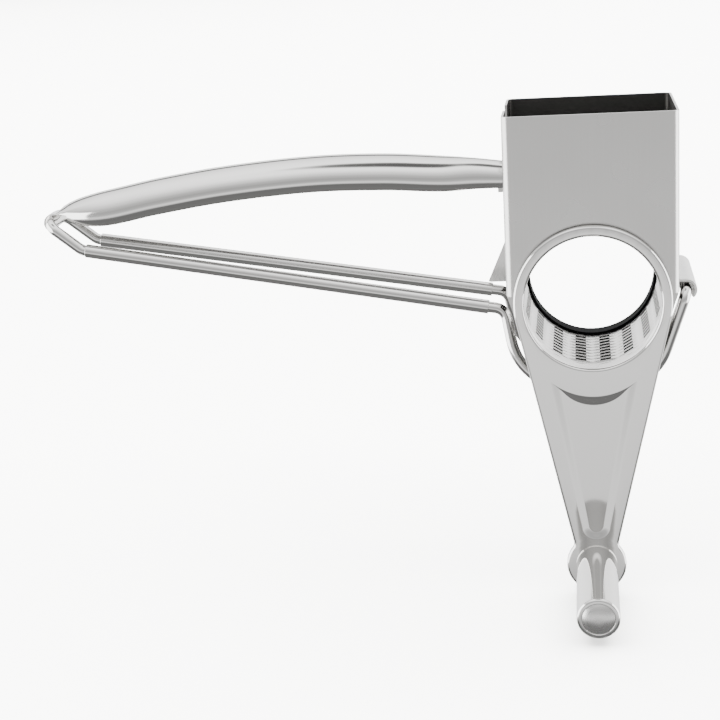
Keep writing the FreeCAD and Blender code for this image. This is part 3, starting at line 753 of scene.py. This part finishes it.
class GRATER_OT_drum(bpy.types.Operator):
    """Models one tooth of the drum, repeats it over a sheet and rolls the sheet up."""

    bl_idname = "grater.drum"
    bl_label = "Grating drum"

    def execute(self, context):
        sizes = context.scene.grater_drum
        low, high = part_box("drum_shell")
        outer = sizes.inner + sizes.sheet
        around = 2 * math.pi * outer / sizes.columns
        half_long, half_wide = sizes.tooth_long / 2, sizes.tooth_wide / 2
        front = low.y + sizes.first - sizes.pitch / 2
        slope = 0.12 * MM  # width of each step of a tooth's sloping side
        turned_by = 0.75  # how far the columns are turned about the axis, in columns
        clear_selection()
        bpy.ops.mesh.primitive_plane_add(size=1, location=(0, 0, 0), rotation=(0, -math.pi / 2, 0))
        drum = start_editing("drum")
        resize((1, sizes.pitch, around), Vector())
        bpy.ops.mesh.subdivide(number_cuts=2)
        for axis, inside in ((1, half_wide), (2, half_long)):
            for side in (-1, 1):
                edge_of_slot = side * (sizes.pitch if axis == 1 else around) / 6
                pick("VERT", lambda v: abs(v.co[axis] - edge_of_slot) < NEAR)
                shift = Vector()
                shift[axis] = side * inside - edge_of_slot
                bpy.ops.transform.translate(value=shift)
        pick("FACE", lambda face: middle(face).length < 0.1 * MM)
        for _ in range(2):
            bpy.ops.mesh.inset(thickness=slope, depth=0)
        pick("VERT", lambda v: abs(v.co.y) < half_wide - 0.1 * MM and abs(v.co.z) < half_long - 0.1 * MM)
        bpy.ops.transform.translate(value=(-sizes.tooth_rise, 0, 0))
        rolled = "bright_rolled_stainless"
        # inside faces take the next slot: the sheet stays bright, and the teeth's insides get painted
        # shade, near black for the shadow behind each raised tooth
        for finish in (rolled, rolled, "sheared_stainless"):
            drum.data.materials.append(finish_named(finish))
        drum.active_material_index = 1
        pick("FACE", lambda face: abs(middle(face).y) < half_wide and abs(middle(face).z) < half_long)
        bpy.ops.object.material_slot_assign()
        pick("FACE", lambda face: max(abs(middle(face).y), abs(middle(face).z)) < 0.05 * MM)
        bpy.ops.mesh.delete(type="FACE")
        bpy.ops.object.mode_set(mode="OBJECT")
        rows, columns = sizes.rows, sizes.columns
        for count, offset in ((rows, (0, sizes.pitch, 0)), (columns, (0, 0, around))):
            modify(
                drum,
                "ARRAY",
                count=count,
                use_relative_offset=False,
                use_constant_offset=True,
                constant_offset_displace=offset,
                use_merge_vertices=True,
                merge_threshold=0.01 * MM,
            )
        bpy.ops.object.mode_set(mode="EDIT")
        bpy.ops.mesh.select_all(action="SELECT")
        shift = Vector((0, front + sizes.pitch / 2, -around * (columns / 2 - turned_by)))
        bpy.ops.transform.translate(value=shift)
        back = front + rows * sizes.pitch
        for place, step in ((front, low.y - front), (back, high.y - back)):
            pick("EDGE", lambda edge: at_depth(edge, place))
            extrude(step * DEPTH)
        modify(drum, "SIMPLE_DEFORM", deform_method="BEND", deform_axis="Y", angle=2 * math.pi)
        bpy.ops.object.mode_set(mode="EDIT")
        bpy.ops.mesh.select_all(action="SELECT")
        bpy.ops.transform.translate(value=(-outer, 0, 0))
        close_up()
        modify(
            drum,
            "SOLIDIFY",
            thickness=sizes.sheet,
            offset=-1,
            use_even_offset=True,
            material_offset=1,
            material_offset_rim=1,
        )
        finish_piece(drum, "drum", "drum_shell", smooth=25)
        return {"FINISHED"}


class GRATER_OT_collar_and_bearing(bpy.types.Operator):
    """Turns the drum's steel collar and the black bearing ring at its rear."""

    bl_idname = "grater.collar_and_bearing"
    bl_label = "Collar and bearing ring"

    def execute(self, context):
        sizes = context.scene.grater_drum
        low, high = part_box("drum_collar")
        outer = sizes.inner + sizes.sheet
        drum_low, drum_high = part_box("drum_shell")
        groove, chamfer = 0.12 * MM, 0.3 * MM
        profile = [
            (sizes.inner, low.y),
            (high.x, low.y),
            (high.x, high.y - chamfer),
            (high.x - chamfer, high.y),
            (outer, high.y),
            (outer, drum_low.y),
            (sizes.inner, drum_low.y),
        ]
        for share in (0.25, 0.45, 0.8):
            y = drum_low.y + (low.y - drum_low.y) * share
            profile += [
                (sizes.inner, y + 2 * groove),
                (sizes.inner + groove, y + groove),
                (sizes.inner + groove, y - groove),
                (sizes.inner, y - 2 * groove),
            ]
        collar = turn_up("collar", Vector(), profile, 128)
        finish_piece(collar, "drum", "drum_collar", "bright_rolled_stainless")

        low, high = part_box("bearing_ring")
        seat_play, drum_play, end_play = 0.05 * MM, 0.1 * MM, 0.15 * MM
        seat = context.scene.grater_hopper.rear_hole - seat_play
        clear, shoulder = outer + drum_play, drum_high.y + end_play
        flange_front, flange_back = 22.0 * MM, 22.95 * MM  # the flange lies inside the rear wall
        corners = [
            (clear, low.y),
            (seat, low.y),
            (seat, flange_front),
            (high.x, flange_front),
            (high.x, flange_back),
            (seat, flange_back),
            (seat, high.y),
            (sizes.ring_bore, high.y),
            (sizes.ring_bore, shoulder),
            (clear, shoulder),
        ]
        ring = turn_up("bearing", Vector(), rounded(corners, groove, 2), 128)
        finish_piece(ring, "ring", "bearing_ring", "moulded_black_acetal")
        return {"FINISHED"}


class GRATER_OT_crank_plate(bpy.types.Operator):
    """Draws the crank plate's outline, rolls its edges and presses the dish into its arm."""

    bl_idname = "grater.crank_plate"
    bl_label = "Crank plate"

    def execute(self, context):
        sizes = context.scene.grater_crank
        low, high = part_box("crank_plate")
        face = low.y
        brow = face + sizes.edge
        facing = -DEPTH
        ear = Vector((KNOB_AXIS.x, brow, KNOB_AXIS.z))
        right_head = Vector((sizes.tangent_x, brow, -sizes.tangent_drop))
        left_neck = Vector((-sizes.neck_half, brow, -sizes.neck_drop))
        right_neck = Vector((sizes.neck_half, brow, -sizes.neck_drop))
        over = math.pi + 2 * math.atan2(sizes.tangent_drop, sizes.tangent_x)
        under = math.pi + 2 * math.atan2((left_neck - ear).z, sizes.neck_half)

        plate = empty_mesh("crank")
        axis = Vector((0, brow, 0))
        draw(right_head, (axis, facing, over, 72), left_neck, (ear, facing, under, 40), right_head)
        merge_all(0.01 * MM)
        bpy.ops.mesh.edge_face_add()
        pick("VERT", lambda v: min((v.co - left_neck).length, (v.co - right_neck).length) < 0.2 * MM)
        bpy.ops.mesh.bevel(offset=sizes.neck_bend, segments=5, affect="VERTICES")
        bpy.ops.mesh.select_all(action="SELECT")
        bpy.ops.mesh.normals_make_consistent(inside=False)
        mesh = bmesh.from_edit_mesh(plate.data)
        mesh.faces.ensure_lookup_table()
        if mesh.faces[0].normal.y > 0:
            bpy.ops.mesh.flip_normals()
        steps = 4
        for step in range(steps):
            first, last = (math.pi / 2 * (step + part) / steps for part in (0, 1))
            inset = sizes.edge * (math.cos(first) - math.cos(last))
            rise = sizes.edge * (math.sin(last) - math.sin(first))
            bpy.ops.mesh.inset(thickness=inset, depth=rise, use_even_offset=True)
        bpy.ops.mesh.delete(type="ONLY_FACE")

        # the drum's mouth, from its rolled front edge to the plate's back
        mouth = sizes.mouth
        bpy.ops.mesh.select_all(action="DESELECT")
        radius, y = mouth + sizes.edge, face
        draw_circle(y, radius, 96)
        for step in range(1, steps + 2):
            bend = math.pi / 2 * min(step, steps) / steps
            next_radius = mouth + sizes.edge * (1 - math.sin(bend))
            next_y = face + sizes.edge * (1 - math.cos(bend)) if step <= steps else high.y
            extrude((next_y - y) * DEPTH)
            resize((next_radius / radius, 1, next_radius / radius), (0, next_y, 0))
            radius, y = next_radius, next_y

        # the dish: outlines drawn ever deeper and narrower, and bridged into its sloping wall
        outlines = []
        for share in (0.0, 0.15, 0.38, 0.62, 0.85, 1.0):
            y = face + sizes.dish_depth * share**2 * (3 - 2 * share)
            width = sizes.dish_wall * share
            head = Vector((-sizes.dish_head + 1.3 * width, y, -sizes.dish_head_drop - 1.1 * width))
            foot = Vector((sizes.dish_foot - width, y, -sizes.dish_foot_drop))
            sag = sizes.dish_sag + 0.1 * width
            arc = (head.x**2 + sag**2) / (2 * sag)
            draw(
                head,
                (Vector((0, y, head.z - sag + arc)), facing, 2 * math.asin(-head.x / arc), 24),
                foot,
                (Vector((0, y, foot.z)), -facing, math.pi, 16),
                head,
            )
            outlines.append(y)

        def on_outline(edge, y):
            in_arm = middle(edge).z < -mouth - 2 * sizes.edge and abs(middle(edge).x) < sizes.dish_head
            free = not edge.link_faces if y == face else is_open(edge)
            return free and in_arm and at_depth(edge, y)

        def on_boundary(edge, y):
            return edge.is_boundary and at_depth(edge, y)

        for above, below in zip(outlines, outlines[1:]):
            pick("EDGE", lambda edge: on_outline(edge, above) or on_outline(edge, below))
            bpy.ops.mesh.remove_doubles(threshold=0.005 * MM)
            bpy.ops.mesh.bridge_edge_loops()
        pick("EDGE", lambda edge: on_boundary(edge, outlines[-1]) and middle(edge).z < -mouth)
        bpy.ops.mesh.edge_face_add()
        pick("EDGE", lambda edge: on_boundary(edge, face))
        bpy.ops.mesh.fill(use_beauty=True)

        # the rim's straight side and the back
        pick("EDGE", lambda edge: on_boundary(edge, brow))
        extrude((high.y - brow) * DEPTH)
        pick("EDGE", lambda edge: on_boundary(edge, high.y))
        bpy.ops.mesh.fill(use_beauty=True)
        close_up()
        finish_piece(plate, "drum", "crank_plate", "mirror_polished_stainless")
        return {"FINISHED"}


class GRATER_OT_knob(bpy.types.Operator):
    """Turns the knob's grip and its domed cap."""

    bl_idname = "grater.knob"
    bl_label = "Knob"

    def execute(self, context):
        sizes = context.scene.grater_knob
        centre = Vector((KNOB_AXIS.x, 0, KNOB_AXIS.z))
        low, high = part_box("knob_grip")
        bore = sizes.radius - sizes.wall
        chamfer, lip_edge = 0.4 * MM, 0.1 * MM
        shoulder = [
            (
                sizes.radius - sizes.shoulder * (1 - math.cos(bend)),
                low.y + sizes.shoulder * (1 - math.sin(bend)),
            )
            for bend in (math.pi / 2 * step / 6 for step in range(7))
        ]
        profile = [
            (bore, high.y),
            (sizes.radius - chamfer, high.y),
            (sizes.radius, high.y - chamfer),
            *shoulder,
            (sizes.lip + lip_edge, low.y),
            (sizes.lip, low.y + lip_edge),
            (sizes.lip, low.y + sizes.wall),
            (bore, low.y + sizes.wall),
        ]
        grip = turn_up("grip", centre, profile)
        finish_piece(grip, "knob", "knob_grip", "mirror_polished_stainless")

        cap_low, cap_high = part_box("knob_cap")
        root = low.y + lip_edge
        rise = low.y - cap_low.y + lip_edge
        flatness, fit = 2.5, 0.985  # how flat the dome's middle is, and its share of the opening
        dome = [
            (fit * sizes.lip * (1 - share), root - rise * (1 - (1 - share) ** flatness))
            for share in (step / 10 for step in range(10))
        ]
        profile = [(bore, cap_high.y), (bore, low.y + sizes.wall), (sizes.lip, low.y + sizes.wall), *dome]
        cap = turn_up("cap", centre, profile, hollow=False)
        finish_piece(cap, "knob", "knob_cap", "bright_rolled_stainless", 40)
        return {"FINISHED"}


class GRATER_OT_fittings(bpy.types.Operator):
    """Gives the gusset, the pusher, the knob's pin and its liner their finishes."""

    bl_idname = "grater.fittings"
    bl_label = "Gusset, pusher, pin and liner"

    def execute(self, context):
        finishes = {
            "satin_brushed_stainless": ["pusher_arm", "pusher_bridge", "pusher_shoe"],
            "bright_rolled_stainless": ["left_gusset"],
            "mirror_polished_stainless": ["pusher_rivets", "knob_pin"],
            "moulded_natural_nylon": ["knob_liner"],
        }
        for finish, nodes in finishes.items():
            for name in nodes:
                node = frame["nodes"][name]
                if not node.material_slots:
                    node.data.materials.append(None)
                for place in node.material_slots:
                    place.material = finish_named(finish)
        return {"FINISHED"}


# ---------------------------------------------------------------- the studio


def card(name, centre, width, height, facing, brightness):
    """A flat card that only reflections show, as a photographer sets round polished metal."""
    clear_selection()
    turn = Vector(facing).to_track_quat("Z", "Y").to_euler()
    bpy.ops.mesh.primitive_plane_add(size=1, location=centre, rotation=turn)
    piece = bpy.context.object
    piece.name = name
    piece.scale = (width, height, 1)
    for ray in ("camera", "diffuse", "shadow", "transmission", "volume_scatter"):
        setattr(piece, "visible_" + ray, False)
    material = bpy.data.materials.new(name)
    material.use_nodes = True
    tree = material.node_tree
    tree.nodes.clear()
    glow = add_node(tree, "ShaderNodeEmission", Color=(brightness, brightness, brightness, 1), Strength=1.0)
    add_node(tree, "ShaderNodeOutputMaterial", Surface=glow.outputs["Emission"])
    piece.data.materials.append(material)
    piece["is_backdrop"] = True
    return piece


# Brightness of the studio against the sine of the elevation, from straight down to straight up:
# in front of the grater, where the room is darker above the table, and behind it.
SURROUND_FRONT = [
    (-1.0, 0.09), (-0.6, 0.08), (-0.5, 0.09), (-0.42, 0.36), (-0.37, 0.5),
    (-0.27, 0.55), (-0.2, 0.42), (-0.08, 0.28), (0.15, 0.23), (0.45, 0.34),
    (0.7, 0.6), (0.9, 1.0), (0.96, 1.0), (0.985, 0.1), (0.999, 0.06),
]
SURROUND_BACK = [
    (-1.0, 0.09), (-0.6, 0.1), (-0.45, 0.7), (-0.1, 0.95), (0.33, 0.9),
    (0.38, 0.1), (0.5, 0.1), (0.56, 0.7), (0.96, 1.1), (0.985, 0.1),
    (0.999, 0.06),
]


class GRATER_OT_stage(bpy.types.Operator):
    """Lays the pale floor, hangs the softbox and sets the camera."""

    bl_idname = "grater.stage"
    bl_label = "Studio"

    def execute(self, context):
        settings = context.scene.grater_stage
        floor_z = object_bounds()[0].z - settings.clearance
        clear_selection()
        bpy.ops.mesh.primitive_plane_add(size=40, location=(0, 0, floor_z))
        floor = context.object
        floor.name = "floor"
        floor.data.materials.append(finish_named("matt_pale_floor"))
        floor.visible_glossy = False

        world = bpy.data.worlds.new("studio")
        context.scene.world = world
        world.use_nodes = True
        sky = world.node_tree
        place = add_node(sky, "ShaderNodeTexCoord").outputs["Generated"]
        direction = add_node(sky, "ShaderNodeSeparateXYZ", Vector=place).outputs
        height, behind = (
            add_node(sky, "ShaderNodeMapRange", Value=direction[axis], From_Min=-end, From_Max=end)
            for axis, end in (("Z", 1.0), ("Y", 0.1))
        )
        halves = {}
        for half, stops in (("A", SURROUND_FRONT), ("B", SURROUND_BACK)):
            ramp = add_node(sky, "ShaderNodeValToRGB", Fac=height.outputs["Result"])
            elements = ramp.color_ramp.elements
            elements[0].position, elements[1].position = (stops[end][0] / 2 + 0.5 for end in (0, -1))
            for sine, _ in stops[1:-1]:
                elements.new(sine / 2 + 0.5)
            for element, (_, level) in zip(elements, stops):
                element.color = (level, level, level, 1)
            halves[half] = ramp.outputs["Color"]
        factor = behind.outputs["Result"]
        mix = add_node(sky, "ShaderNodeMix", {"data_type": "RGBA"}, Factor=factor, **halves)
        background = sky.nodes["Background"]
        sky.links.new(mix.outputs["Result"], background.inputs["Color"])
        background.inputs["Strength"].default_value = settings.surround

        bpy.ops.object.light_add(type="AREA", location=(0, 1.5, 3.0))
        softbox = context.object
        softbox.name = "softbox"
        softbox.data.shape = "RECTANGLE"
        softbox.data.size, softbox.data.size_y = 8.0, 8.0
        softbox.data.energy = settings.softbox
        softbox.visible_glossy = False

        left = card("left_card", (-1.6, -0.5, 0.1), 2.6, 1.6, ACROSS, 7.0)
        right = card("right_card", (1.5, 0.1, 0.1), 1.6, 1.6, -ACROSS, 7.0)
        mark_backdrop(floor, softbox, left, right)

        bpy.ops.object.camera_add()
        camera = context.object
        camera.name = "camera"
        pitch, yaw, roll = 0.285, 0.15, -0.061
        place = Matrix.Translation(Vector((-2.92, -527.41, 130.62)) * MM)
        aim = Matrix.Rotation(yaw, 4, "Z") @ Matrix.Rotation(math.pi / 2 - pitch, 4, "X")
        camera.matrix_world = place @ aim @ Matrix.Rotation(roll, 4, "Z")
        camera.data.lens, camera.data.sensor_width = 77.5, 36
        camera.data.clip_start, camera.data.clip_end = 0.01, 60
        camera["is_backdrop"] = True
        context.scene.camera = camera
        return {"FINISHED"}


class GRATER_PT_pieces(bpy.types.Panel):
    """Lists the grater's pieces and their sizes."""

    bl_idname = "GRATER_PT_pieces"
    bl_label = "Rotary cheese grater"
    bl_space_type = "VIEW_3D"
    bl_region_type = "UI"
    bl_category = "Grater"

    def draw(self, context):
        for operator in OPERATORS:
            self.layout.operator(operator.bl_idname)
        for name, group in SETTINGS.items():
            box = self.layout.box()
            settings = getattr(context.scene, name)
            for key in group.__annotations__:
                box.prop(settings, key)


SETTINGS = {
    "grater_hopper": HopperSizes,
    "grater_wire": WireSizes,
    "grater_handle": HandleSizes,
    "grater_drum": DrumSizes,
    "grater_crank": CrankSizes,
    "grater_knob": KnobSizes,
    "grater_colours": FinishColours,
    "grater_stage": StageSettings,
}
OPERATORS = (
    GRATER_OT_hopper,
    GRATER_OT_hook,
    GRATER_OT_wire_frame,
    GRATER_OT_handle,
    GRATER_OT_drum,
    GRATER_OT_collar_and_bearing,
    GRATER_OT_crank_plate,
    GRATER_OT_knob,
    GRATER_OT_fittings,
    GRATER_OT_stage,
)


def register():
    """Registers the settings, the operators and the panel."""
    for name, group in SETTINGS.items():
        bpy.utils.register_class(group)
        setattr(bpy.types.Scene, name, PointerProperty(type=group))
    for item in (*OPERATORS, GRATER_PT_pieces):
        bpy.utils.register_class(item)


def unregister():
    """Takes the settings, the operators and the panel away again."""
    for item in reversed((*OPERATORS, GRATER_PT_pieces)):
        bpy.utils.unregister_class(item)
    for name, group in SETTINGS.items():
        delattr(bpy.types.Scene, name)
        bpy.utils.unregister_class(group)


def main():
    """Models every piece in order."""
    register()
    bpy.ops.grater.hopper()
    bpy.ops.grater.hook()
    bpy.ops.grater.wire_frame()
    bpy.ops.grater.handle()
    bpy.ops.grater.drum()
    bpy.ops.grater.collar_and_bearing()
    bpy.ops.grater.crank_plate()
    bpy.ops.grater.knob()
    bpy.ops.grater.fittings()
    bpy.ops.grater.stage()
    clear_selection()


if __name__ == "__main__":
    main()
